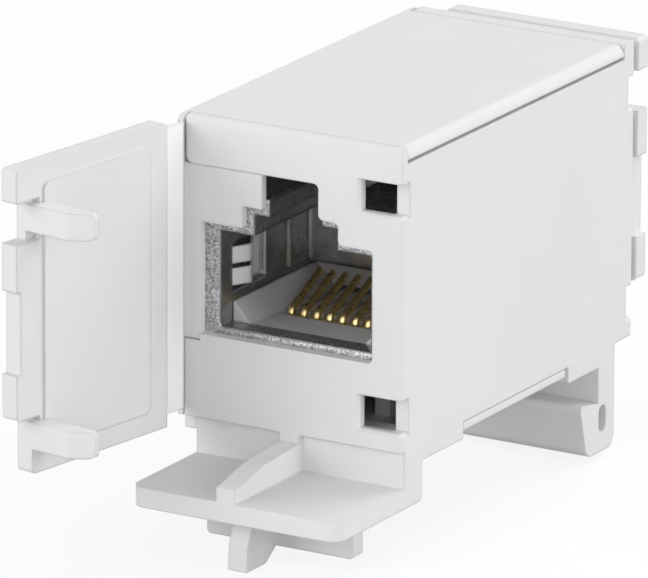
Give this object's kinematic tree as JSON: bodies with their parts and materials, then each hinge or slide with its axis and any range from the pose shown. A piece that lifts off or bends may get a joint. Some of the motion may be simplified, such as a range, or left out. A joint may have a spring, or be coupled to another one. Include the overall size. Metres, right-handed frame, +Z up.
{
  "type": "rj45 inline coupler",
  "caption": "Inline network coupler: two shielded sockets back to back in a plastic housing with hinged dust doors at both ends, a foot and a sprung hook below for a mounting strip.",
  "frame": {"origin": "centre of the flat underside of the floor, which sits on the mounting strip", "axes": "+Y from the front socket to the rear socket, +X towards the side where the doors open, +Z up"},
  "size_m": [0.0208, 0.0512, 0.0292],
  "materials": {
    "housing_plastic": "fine satin moulding",
    "shield_metal": "plated die casting",
    "spring_metal": "bright spring strip",
    "carrier_plastic": "satin",
    "contact_metal": "gold plated",
    "board": "solder mask"
  },
  "bodies": {
    "housing": {"right_shell": "housing_plastic", "left_shell": "housing_plastic", "front_jack_housing": "shield_metal", "front_contact_carrier": "carrier_plastic", "front_contact_1": "contact_metal", "front_contact_2": "contact_metal", "front_contact_3": "contact_metal", "front_contact_4": "contact_metal", "front_contact_5": "contact_metal", "front_contact_6": "contact_metal", "front_contact_7": "contact_metal", "front_contact_8": "contact_metal", "front_spring_left": "spring_metal", "front_spring_right": "spring_metal", "rear_jack_housing": "shield_metal", "rear_contact_carrier": "carrier_plastic", "rear_contact_1": "contact_metal", "rear_contact_2": "contact_metal", "rear_contact_3": "contact_metal", "rear_contact_4": "contact_metal", "rear_contact_5": "contact_metal", "rear_contact_6": "contact_metal", "rear_contact_7": "contact_metal", "rear_contact_8": "contact_metal", "rear_spring_left": "spring_metal", "rear_spring_right": "spring_metal", "circuit_board": "board"},
    "front_leaf": {"front_door": "housing_plastic"},
    "rear_leaf": {"rear_door": "housing_plastic"}
  },
  "joints": [
    {"name": "front_door_hinge", "type": "hinge", "parent": "housing", "child": "front_leaf", "pos_m": [-0.0082, -0.01666, 0.011], "axis": [0, 0, 1], "range_deg": [-60, 99.5]},
    {"name": "rear_door_hinge", "type": "hinge", "parent": "housing", "child": "rear_leaf", "pos_m": [-0.0082, 0.01666, 0.011], "axis": [0, 0, 1], "range_deg": [0, 150]}
  ]
}
